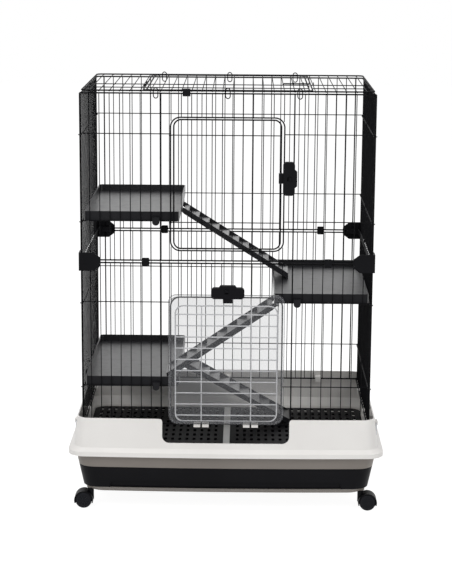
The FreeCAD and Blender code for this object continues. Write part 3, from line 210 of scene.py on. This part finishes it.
class Value:
    """A socket of a node tree that takes part in arithmetic."""

    def __init__(self, tree, socket):
        self.tree = tree
        self.socket = socket

    def maths(self, operation, *values):
        return self.tree.add("ShaderNodeMath", {"operation": operation}, dict(enumerate(values)))

    def __add__(self, other):
        return self.maths("ADD", self, other)

    __radd__ = __add__

    def __sub__(self, other):
        return self.maths("SUBTRACT", self, other)

    def __rsub__(self, other):
        return self.maths("SUBTRACT", other, self)

    def __mul__(self, other):
        return self.maths("MULTIPLY", self, other)

    __rmul__ = __mul__

    def __truediv__(self, other):
        return self.maths("DIVIDE", self, other)

    def __rtruediv__(self, other):
        return self.maths("DIVIDE", other, self)

    def size(self):
        return self.maths("ABSOLUTE", self)

    def above(self, limit):
        return self.maths("MAXIMUM", self, limit)

    def below(self, limit):
        return self.maths("MINIMUM", self, limit)

    def root(self):
        return self.maths("SQRT", self)

    def eased(self, low, high):
        """0 below low and 1 above high, with a smooth change between them."""
        settings = {"interpolation_type": "SMOOTHSTEP"}
        sockets = {"Value": self, "From Min": low, "From Max": high}
        return self.tree.add("ShaderNodeMapRange", settings, sockets, "Result")


class Tree:
    """A node tree whose nodes are added by one method."""

    def __init__(self, tree):
        self.tree = tree

    def add(self, kind, settings=None, sockets=None, output=0):
        """Adds a node with its settings and its sockets' values or links, and gives one of its outputs.

        A list links several values to one socket.
        """
        node = self.tree.nodes.new(kind)
        for name, setting in (settings or {}).items():
            setattr(node, name, setting)
        for name, given in (sockets or {}).items():
            for value in given if isinstance(given, list) else [given]:
                if isinstance(value, Value):
                    self.tree.links.new(value.socket, node.inputs[name])
                else:
                    node.inputs[name].default_value = value
        if len(node.outputs) == 0:
            return node
        return Value(self, node.outputs[output])

    def seen(self):
        """1 for rays from the camera, from glossy surfaces and through clear ones, and 0 for the rest."""
        rays = ("Is Camera Ray", "Is Glossy Ray", "Is Transmission Ray")
        camera, glossy, clear = [self.add("ShaderNodeLightPath", output=ray) for ray in rays]
        return camera.above(glossy).above(clear)


class Finish(Tree):
    """A material that is built from its surface's sockets."""

    def __init__(self, name):
        self.material = bpy.data.materials.new(name)
        self.material.use_nodes = True
        super().__init__(self.material.node_tree)
        self.tree.nodes.clear()
        self.place = self.add("ShaderNodeTexCoord", output="Object")

    def axis(self, letter):
        """One of the three object coordinates."""
        return self.add("ShaderNodeSeparateXYZ", {}, {"Vector": self.place}, letter)

    def noise(self, scale, detail=2.0, roughness=0.5):
        sockets = {"Vector": self.place, "Scale": scale, "Detail": detail, "Roughness": roughness}
        return self.add("ShaderNodeTexNoise", {}, sockets, "Fac")

    def grain(self, scale):
        """The grain that a mould leaves."""
        return self.noise(scale, grain_detail, grain_roughness)

    def scuff(self, scale):
        """Patches where a polished face has worn."""
        return self.noise(scale, scuff_detail, scuff_roughness).eased(*scuff_range)

    def mixed(self, factor, first, second):
        """A mix of two colours, whose sockets go by number because others share their names."""
        sockets = {0: factor, 6: first, 7: second}
        return self.add("ShaderNodeMix", {"data_type": "RGBA"}, sockets, 2)

    def bump(self, height, distance, strength):
        sockets = {"Height": height, "Distance": distance, "Strength": strength}
        return self.add("ShaderNodeBump", {}, sockets, "Normal")

    def surface(self, **sockets):
        """Ends the material in one shader, whose sockets go by the short names below."""
        named = {socket_names[name]: value for name, value in sockets.items()}
        shader = self.add("ShaderNodeBsdfPrincipled", {}, named, "BSDF")
        self.add("ShaderNodeOutputMaterial", {}, {"Surface": shader})
        return self.material


socket_names = {
    "base_color": "Base Color",
    "roughness": "Roughness",
    "metallic": "Metallic",
    "normal": "Normal",
    "alpha": "Alpha",
    "specular": "Specular IOR Level",
    "coat": "Coat Weight",
    "coat_roughness": "Coat Roughness",
    "coat_refraction": "Coat IOR",
}


# Finishes

def colour(red, green, blue):
    """A linear colour with full cover from a display colour in 0 to 255, by the sRGB formula."""
    parts = []
    for part in (red, green, blue):
        share = part / 255
        parts.append(share / 12.92 if share <= 0.04045 else ((share + 0.055) / 1.055) ** 2.4)
    return (*parts, 1.0)


def coated_wire(name, dark, light, roughness, specular):
    """A powder coat on wire: slightly uneven in tone and gloss, with a fine orange peel."""
    finish = Finish(name)
    cloud = finish.noise(coat_cloud_scale, coat_cloud_detail)
    peel = finish.noise(coat_peel_scale)
    return finish.surface(
        base_color=finish.mixed(cloud, dark, light),
        roughness=roughness + (peel - noise_middle) * coat_gloss_change,
        specular=specular,
        normal=finish.bump(peel, coat_peel_depth, coat_peel_strength),
    )


def moulded_plastic(name, dark, light, roughness, specular, grain, depth):
    """A moulded plastic with a faint flow of tone and the grain of its mould."""
    finish = Finish(name)
    flow = finish.noise(flow_scale)
    fine = finish.grain(grain)
    tone = (flow * flow_share + fine * (1 - flow_share)).eased(*tone_range)
    return finish.surface(
        base_color=finish.mixed(tone, dark, light),
        roughness=roughness + (fine - noise_middle) * grain_gloss_change,
        specular=specular,
        normal=finish.bump(fine, depth, grain_strength),
    )


def clear_panel(name):
    """A clear sheet with a thick clear rim, painted lighter as its highlight, and with painted dark lines
    where its edges bend the light.
    """
    finish = Finish(name)
    low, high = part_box("ramp_door_panel")
    middle = (low + high) / 2
    half = (high - low) / 2
    across = finish.axis("X") - middle.x
    up = finish.axis("Z") - middle.z
    top = up.eased(-panel_corner_blend, panel_corner_blend)
    corner = panel_bottom_corner + top * (panel_top_corner - panel_bottom_corner)
    over_side = across.size() - (half.x - corner)
    over_end = up.size() - (half.z - corner)
    round_side = over_side.above(0)
    round_end = over_end.above(0)
    beyond = (round_side * round_side + round_end * round_end).root() + over_side.above(over_end).below(0)
    inset = corner - beyond
    rim = 1 - inset.eased(panel_rim - panel_line, panel_rim)
    outer_line = 1 - inset.eased(*panel_outer_fade)
    inner_line = 1 - (inset - (panel_rim - panel_line)).size().eased(*panel_inner_fade)
    line = outer_line.above(inner_line * panel_inner_line_share)
    streak = finish.noise(panel_streak_scale, panel_streak_detail)
    # The rim's lighter grey is a painted highlight, and the dark grey on the lines is painted shade where
    # the edges bend the light.
    sheet = finish.mixed(rim, colour(122, 123, 126), colour(176, 177, 181))
    cover = panel_cover - rim * panel_rim_clearing + line * panel_line_cover
    return finish.surface(
        base_color=finish.mixed(line, sheet, colour(62, 62, 65)),
        roughness=panel_gloss + streak * panel_gloss_change,
        alpha=cover + streak * panel_streak_cover,
        specular=0.25,
    )


def tray_plastic(name, dark, light):
    """A moulded plastic whose trays are polished inside, while the outer walls stay matt."""
    finish = Finish(name)
    flow = finish.noise(flow_scale)
    fine = finish.grain(tray_grain_scale)
    tone = (flow * flow_share + fine * (1 - flow_share)).eased(*tone_range)
    scuff = finish.scuff(tray_scuff_scale)
    inside = 1 - finish.axis("Y").size().eased(tray_inside - tray_edge, tray_inside)
    gloss = tray_roughness + (fine - noise_middle) * grain_gloss_change
    return finish.surface(
        base_color=finish.mixed(tone, dark, light),
        roughness=gloss + scuff * scuff_gloss_change,
        specular=0.12,
        coat=inside * (tray_polish - scuff * tray_scuff_dulling),
        coat_roughness=0.36,
        normal=finish.bump(fine, tray_grain_depth, grain_strength),
    )


def ramp_plastic(ramp):
    """The trays' plastic on a ramp: polished treads between matt stringers."""
    finish = Finish(ramp + "_plastic")
    low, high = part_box(ramp)
    fine = finish.grain(ramp_grain_scale)
    flow = finish.noise(ramp_flow_scale)
    scuff = finish.scuff(ramp_scuff_scale)
    aside = (finish.axis("Y") - (low.y + high.y) / 2).size()
    inside = 1 - aside.eased(ramp_inside_width / 2 - tray_edge, ramp_inside_width / 2)
    gloss = ramp_roughness + (fine - noise_middle) * grain_gloss_change
    return finish.surface(
        base_color=finish.mixed(flow.eased(*tone_range), colour(27, 27, 30), colour(37, 37, 40)),
        roughness=gloss + scuff * scuff_gloss_change,
        specular=0.14,
        coat=inside * (1 - scuff * ramp_scuff_dulling),
        coat_roughness=0.3,
        coat_refraction=1.75,
        normal=finish.bump(fine, ramp_grain_depth, grain_strength),
    )


def plated_wire(name):
    """A bright plated wire, slightly uneven in tone and gloss."""
    finish = Finish(name)
    cloud = finish.noise(plate_cloud_scale, metal_cloud_detail)
    return finish.surface(
        base_color=finish.mixed(cloud, colour(150, 152, 156), colour(206, 208, 212)),
        metallic=1.0,
        roughness=plate_roughness + cloud * plate_gloss_change,
    )


def drawn_steel(name):
    """Plain drawn steel, a little dull."""
    finish = Finish(name)
    cloud = finish.noise(steel_cloud_scale, metal_cloud_detail)
    return finish.surface(
        base_color=finish.mixed(cloud, colour(120, 121, 124), colour(168, 169, 172)),
        metallic=1.0,
        roughness=steel_roughness + cloud * steel_gloss_change,
        normal=finish.bump(cloud, steel_depth, steel_strength),
    )


def make_finishes():
    """All finishes, by the record's slots, and the ramps' by their nodes."""
    finishes = {
        "black_wire": coated_wire(
            "black_wire", colour(11, 11, 13), colour(17, 17, 19), roughness=0.5, specular=0.035),
        "white_wire": coated_wire(
            "white_wire", colour(232, 233, 236), colour(246, 246, 248), roughness=0.35, specular=0.5),
        "clear_plastic": clear_panel("clear_plastic"),
        "white_plastic": moulded_plastic(
            "white_plastic", colour(224, 221, 218), colour(232, 230, 227),
            roughness=0.4, specular=0.4, grain=1400.0, depth=0.00006),
        "taupe_plastic": moulded_plastic(
            "taupe_plastic", colour(118, 112, 106), colour(128, 122, 116),
            roughness=0.45, specular=0.35, grain=1400.0, depth=0.00006),
        "grey_plastic": moulded_plastic(
            "grey_plastic", colour(196, 196, 194), colour(212, 212, 209),
            roughness=0.42, specular=0.35, grain=1400.0, depth=0.00006),
        "platform_plastic": tray_plastic("platform_plastic", colour(19, 19, 22), colour(28, 28, 31)),
        "black_plastic": moulded_plastic(
            "black_plastic", colour(12, 12, 14), colour(18, 18, 21),
            roughness=0.42, specular=0.07, grain=1100.0, depth=0.0001),
        "wheel_plastic": moulded_plastic(
            "wheel_plastic", colour(19, 20, 24), colour(27, 28, 33),
            roughness=0.36, specular=0.11, grain=1300.0, depth=0.00006),
        "bright_wire": plated_wire("bright_wire"),
        "steel": drawn_steel("steel"),
    }
    for ramp in ("upper_ramp", "middle_ramp", "lower_ramp"):
        finishes[ramp] = ramp_plastic(ramp)
    return finishes


def dress_nodes():
    """Gives each CAD node the finish of its slot, or one of its own."""
    for row in frame["record"]["subparts"]:
        mesh = nodes[row["node"]].data
        mesh.materials.clear()
        mesh.materials.append(finishes.get(row["node"]) or finishes[row["material_slot"]])


# Pieces that repeat

class Former(Tree):
    """A geometry tree with named inputs, which turns a piece's points into its finished mesh."""

    def __init__(self, name, inputs):
        group = bpy.data.node_groups.new(name, "GeometryNodeTree")
        super().__init__(group)
        group.interface.new_socket("Geometry", in_out="OUTPUT", socket_type="NodeSocketGeometry")
        self.ids = {}
        kinds = {"Geometry": "NodeSocketGeometry", "Material": "NodeSocketMaterial", **inputs}
        for title, kind in kinds.items():
            socket = group.interface.new_socket(title, in_out="INPUT", socket_type=kind)
            self.ids[title] = socket.identifier
        self.given = {title: self.add("NodeGroupInput", output=title) for title in self.ids}

    def end(self, piece, **turns):
        """Puts the piece on each point, makes it real, gives it the material and ends the tree."""
        sockets = {"Points": self.given["Geometry"], "Instance": piece, **turns}
        placed = self.add("GeometryNodeInstanceOnPoints", {}, sockets)
        real = self.add("GeometryNodeRealizeInstances", {}, {"Geometry": placed})
        sockets = {"Geometry": real, "Material": self.given["Material"]}
        dressed = self.add("GeometryNodeSetMaterial", {}, sockets)
        self.add("NodeGroupOutput", {}, {"Geometry": dressed})
        return self

    def form(self, name, points, body, slot, finish, sizes):
        """Runs the tree on points and keeps the result as a plain mesh that rides on a body."""
        seed = bpy.data.meshes.new(name + "_points")
        seed.from_pydata(points, [], [])
        piece = bpy.data.objects.new(name, seed)
        bpy.context.scene.collection.objects.link(piece)
        modifier = piece.modifiers.new("former", "NODES")
        modifier.node_group = self.tree
        for title, value in {"Material": finish, **sizes}.items():
            modifier[self.ids[title]] = value
        graph = bpy.context.evaluated_depsgraph_get()
        mesh = bpy.data.meshes.new_from_object(piece.evaluated_get(graph))
        piece.modifiers.remove(modifier)
        piece.data = mesh
        bpy.data.meshes.remove(seed)
        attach(piece, body)


def weld_former():
    """A flattened bead on each point, as spot welds leave where wires cross."""
    former = Former("weld beads", {"Radius": "NodeSocketFloat", "Flatness": "NodeSocketFloat"})
    sockets = {"Radius": former.given["Radius"], "Subdivisions": weld_detail}
    bead = former.add("GeometryNodeMeshIcoSphere", {}, sockets)
    scale = former.add("ShaderNodeCombineXYZ", {}, {"X": 1.0, "Y": former.given["Flatness"], "Z": 1.0})
    return former.end(bead, Scale=scale)


def nosing_former():
    """A round bar across each point, as the nosing of a ramp's tread."""
    former = Former("tread nosings", {
        "Radius": "NodeSocketFloat",
        "Length": "NodeSocketFloat",
        "Sides": "NodeSocketInt",
    })
    sockets = {
        "Vertices": former.given["Sides"],
        "Radius": former.given["Radius"],
        "Depth": former.given["Length"],
    }
    bar = former.add("GeometryNodeMeshCylinder", {}, sockets)
    return former.end(bar, Rotation=(math.pi / 2, 0.0, 0.0))


def row_places(half_width):
    """Where uprights stand across a panel or door, in pairs from the middle out."""
    pairs = int((half_width - edge_gap) / wire_pitch + 1 / 2)
    places = [(pair + 1 / 2) * wire_pitch for pair in range(pairs)]
    return sorted([-place for place in places] + places)


def in_opening(across, height, half_width, low, high):
    return abs(across) < half_width and low < height < high


def front_welds():
    """Crossings of the front and back panels."""
    points = []
    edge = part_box("front_upper_panel")[1].x
    panels = (
        (rails_upper + crosses_upper, upper_opening),
        (rails_lower + crosses_lower, (rails_lower[0], ramp_opening_top)),
    )
    for across in row_places(edge):
        for heights, opening in panels:
            for height in heights:
                points.append((across, weld_plane, height))
                if not in_opening(across, height, opening_half_width, *opening):
                    points.append((across, -weld_plane, height))
    return points


def side_welds():
    """Crossings of the side panels."""
    points = []
    for across in row_places(side_edge):
        for side in (-side_plane, side_plane):
            for height in rails_upper + rails_lower:
                points.append((side, across, height))
            for height in crosses_upper + crosses_lower:
                points.append((side, across, height - wire_step))
    return points


def roof_welds():
    """Crossings of the roof panel."""
    points = []
    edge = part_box("roof_panel")[1].x
    for across in row_places(edge):
        for along in (-roof_rail, roof_rail):
            points.append((across, along, roof_plane))
        for along in crosses_roof:
            if abs(across) > roof_opening_half_width:
                points.append((across, along, roof_plane))
    return points


def upper_door_welds():
    """Crossings of the upper door."""
    half_width = opening_half_width - door_gap
    heights = [upper_opening[0] + door_end_gap, upper_opening[1] - door_end_gap]
    heights += [height - wire_step for height in crosses_upper]
    return [(across, -weld_plane, height) for across in row_places(half_width) for height in heights]


def roof_door_welds():
    """Crossings of the roof door."""
    half_width = roof_opening_half_width - door_gap
    ends = roof_opening_half_depth - door_end_gap
    places = [-ends, ends] + [along - wire_step for along in crosses_roof]
    return [(across, along, roof_plane) for across in row_places(half_width) for along in places]


def grid_welds():
    """Crossings of the ramp door's grid."""
    spacing = (grid_high - grid_rung_head - grid_low - grid_rung_foot) / (grid_rungs - 1)
    points = []
    for rung in range(grid_rungs):
        height = grid_low + grid_rung_foot + rung * spacing
        for across in (-grid_half_width, -grid_upright, grid_upright, grid_half_width):
            points.append((across, -weld_plane - grid_weld_depth, height))
    return points


def add_welds():
    """Weld beads on all wires, one mesh for each body."""
    former = weld_former()
    sizes = {"Radius": weld_radius, "Flatness": weld_flatness}
    rows = (
        ("cage_welds", front_welds() + side_welds() + roof_welds(), "cage", "black_wire"),
        ("upper_door_welds", upper_door_welds(), "upper_door", "black_wire"),
        ("roof_door_welds", roof_door_welds(), "roof_door", "black_wire"),
        ("grid_welds", grid_welds(), "ramp_door", "white_wire"),
    )
    for name, points, body, slot in rows:
        former.form(name, points, body, slot, finishes[slot], sizes)


def ramp_nosings(ramp, way):
    """Points along a ramp's tread edges; way is 1 where it runs down to +X and -1 where to -X."""
    pin = Vector(joints[ramp + "_hinge"]["pos_m"])
    low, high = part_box(ramp)
    reach = high.x - pin.x if way > 0 else pin.x - low.x
    drop = pin.z - low.z
    treads = 1 + round((math.hypot(reach, drop) - ramp_first) / math.hypot(ramp_tread, ramp_rise))
    foot_across = ramp_first + (treads - 1) * ramp_tread
    foot_drop = ramp_first_drop + (treads - 1) * ramp_rise + ramp_depth
    length = math.hypot(foot_across, foot_drop)
    tilt = math.asin(drop / length) - math.atan2(foot_drop, foot_across)
    points = []
    for step in range(treads):
        across = ramp_first + step * ramp_tread
        up = -ramp_first_drop - step * ramp_rise
        turned_across = across * math.cos(tilt) + up * math.sin(tilt)
        turned_up = up * math.cos(tilt) - across * math.sin(tilt)
        points.append((pin.x + way * turned_across, pin.y, pin.z + turned_up))
    return points


def add_nosings():
    """The nosings of the three ramps."""
    former = nosing_former()
    sizes = {"Radius": nosing_radius, "Length": ramp_inside_width, "Sides": nosing_sides}
    for ramp, way in (("upper_ramp", 1), ("middle_ramp", -1), ("lower_ramp", 1)):
        points = ramp_nosings(ramp, way)
        former.form(ramp + "_nosings", points, ramp, "ramp_plastic", finishes[ramp], sizes)


def hub_former():
    """A ring, ribs and a cap round each point, as the hub of a wheel's outer face."""
    former = Former("wheel hubs", {
        "Radius": "NodeSocketFloat",
        "Rise": "NodeSocketFloat",
        "Rib Count": "NodeSocketInt",
        "Rib Length": "NodeSocketFloat",
        "Rib Width": "NodeSocketFloat",
        "Cap Radius": "NodeSocketFloat",
        "Cap Sides": "NodeSocketInt",
        "Turn": "NodeSocketVector",
    })
    given = former.given
    sockets = {"Resolution": hub_ring_sides, "Radius": given["Radius"]}
    circle = former.add("GeometryNodeCurvePrimitiveCircle", {}, sockets)
    sockets = {"Resolution": hub_section_sides, "Radius": given["Rise"]}
    section = former.add("GeometryNodeCurvePrimitiveCircle", {}, sockets)
    ring = former.add("GeometryNodeCurveToMesh", {}, {"Curve": circle, "Profile Curve": section})
    sockets = {"X": given["Rib Length"], "Y": given["Rib Width"], "Z": given["Rise"] * hub_rib_rises}
    size = former.add("ShaderNodeCombineXYZ", {}, sockets)
    rib = former.add("GeometryNodeMeshCube", {}, {"Size": size})
    sockets = {"Vertices": given["Rib Count"], "Radius": given["Radius"] - given["Rib Length"] / 2}
    spots = former.add("GeometryNodeMeshCircle", {}, sockets)
    angle = former.add("GeometryNodeInputIndex") * (2 * math.pi / given["Rib Count"])
    spread = former.add("ShaderNodeCombineXYZ", {}, {"Z": angle})
    sockets = {"Points": spots, "Instance": rib, "Rotation": spread}
    ribs = former.add("GeometryNodeInstanceOnPoints", {}, sockets)
    sockets = {
        "Vertices": given["Cap Sides"],
        "Radius": given["Cap Radius"],
        "Depth": given["Rise"] * hub_cap_rises,
    }
    cap = former.add("GeometryNodeMeshCylinder", {}, sockets)
    hub = former.add("GeometryNodeJoinGeometry", {}, {"Geometry": [ring, ribs, cap]})
    return former.end(hub, Rotation=given["Turn"])


def add_hubs():
    """Hubs on both outer faces of each caster's pair of wheels."""
    former = hub_former()
    plastic = finishes["wheel_plastic"]
    sizes = {
        "Radius": hub_radius,
        "Rise": hub_rise,
        "Rib Count": hub_rib_count,
        "Rib Length": hub_rib_length,
        "Rib Width": hub_rib_width,
        "Cap Radius": hub_cap_radius,
        "Cap Sides": hub_cap_sides,
        "Turn": (math.pi / 2, 0.0, 0.0),
    }
    for corner in ("front_left", "front_right", "back_left", "back_right"):
        centre = Vector(joints["roll_" + corner]["pos_m"])
        faces = [tuple(centre + Vector((0.0, side * wheel_reach, 0.0))) for side in (-1, 1)]
        former.form("hubs_" + corner, faces, "wheels_" + corner, "wheel_plastic", plastic, sizes)


# Stage, light and camera

def add_floor():
    """A wide pale floor, white to the camera but for the shadow on it."""
    mesh = bpy.data.meshes.new("floor")
    shape = bmesh.new()
    bmesh.ops.create_circle(shape, cap_ends=True, segments=floor_sides, radius=floor_radius)
    shape.to_mesh(mesh)
    shape.free()
    floor = bpy.data.objects.new("floor", mesh)
    bpy.context.scene.collection.objects.link(floor)
    paper = Finish("paper")
    matt = paper.add("ShaderNodeBsdfDiffuse", {}, {"Color": paper_tone}, "BSDF")
    glow = paper.add("ShaderNodeEmission", {}, {"Color": white, "Strength": paper_glow})
    mix = paper.add("ShaderNodeMixShader", {}, {0: paper.seen() * paper_glow_share, 1: matt, 2: glow})
    paper.add("ShaderNodeOutputMaterial", {}, {"Surface": mix})
    mesh.materials.append(paper.material)


def add_light():
    """White surroundings, and large soft lamps above and in front."""
    world = bpy.data.worlds.new("studio")
    bpy.context.scene.world = world
    world.use_nodes = True
    world.node_tree.nodes.clear()
    studio = Tree(world.node_tree)
    strength = world_light + studio.seen() * (1 - world_light)
    sky = studio.add("ShaderNodeBackground", {}, {"Color": white, "Strength": strength})
    studio.add("ShaderNodeOutputWorld", {}, {"Surface": sky})
    for row in lamps:
        lamp = bpy.data.lights.new(row["name"], "AREA")
        lamp.shape = "SQUARE"
        lamp.size = row["size"]
        lamp.energy = row["power"]
        holder = bpy.data.objects.new(row["name"], lamp)
        holder.location = row["place"]
        holder.rotation_euler = (lamp_aim - row["place"]).to_track_quat("-Z", "Y").to_euler()
        bpy.context.scene.collection.objects.link(holder)


def add_camera():
    """The photograph's camera."""
    ahead = Vector((
        math.sin(camera_yaw) * math.cos(camera_pitch),
        math.cos(camera_yaw) * math.cos(camera_pitch),
        -math.sin(camera_pitch),
    ))
    level = Vector((math.cos(camera_yaw), -math.sin(camera_yaw), 0.0))
    upward = level.cross(ahead)
    right = math.cos(camera_roll) * level + math.sin(camera_roll) * upward
    up = math.cos(camera_roll) * upward - math.sin(camera_roll) * level
    data = bpy.data.cameras.new("camera")
    data.sensor_width = sensor_size
    data.lens = focal_pixels * sensor_size / max(photo_width, photo_height)
    camera = bpy.data.objects.new("camera", data)
    turn = Matrix((right, up, -ahead)).transposed().to_4x4()
    camera.matrix_world = Matrix.Translation(camera_place) @ turn
    bpy.context.scene.collection.objects.link(camera)
    bpy.context.scene.camera = camera


finishes = make_finishes()
dress_nodes()
add_welds()
add_nosings()
add_hubs()
add_floor()
add_light()
add_camera()
bpy.context.scene.view_settings.view_transform = "Standard"
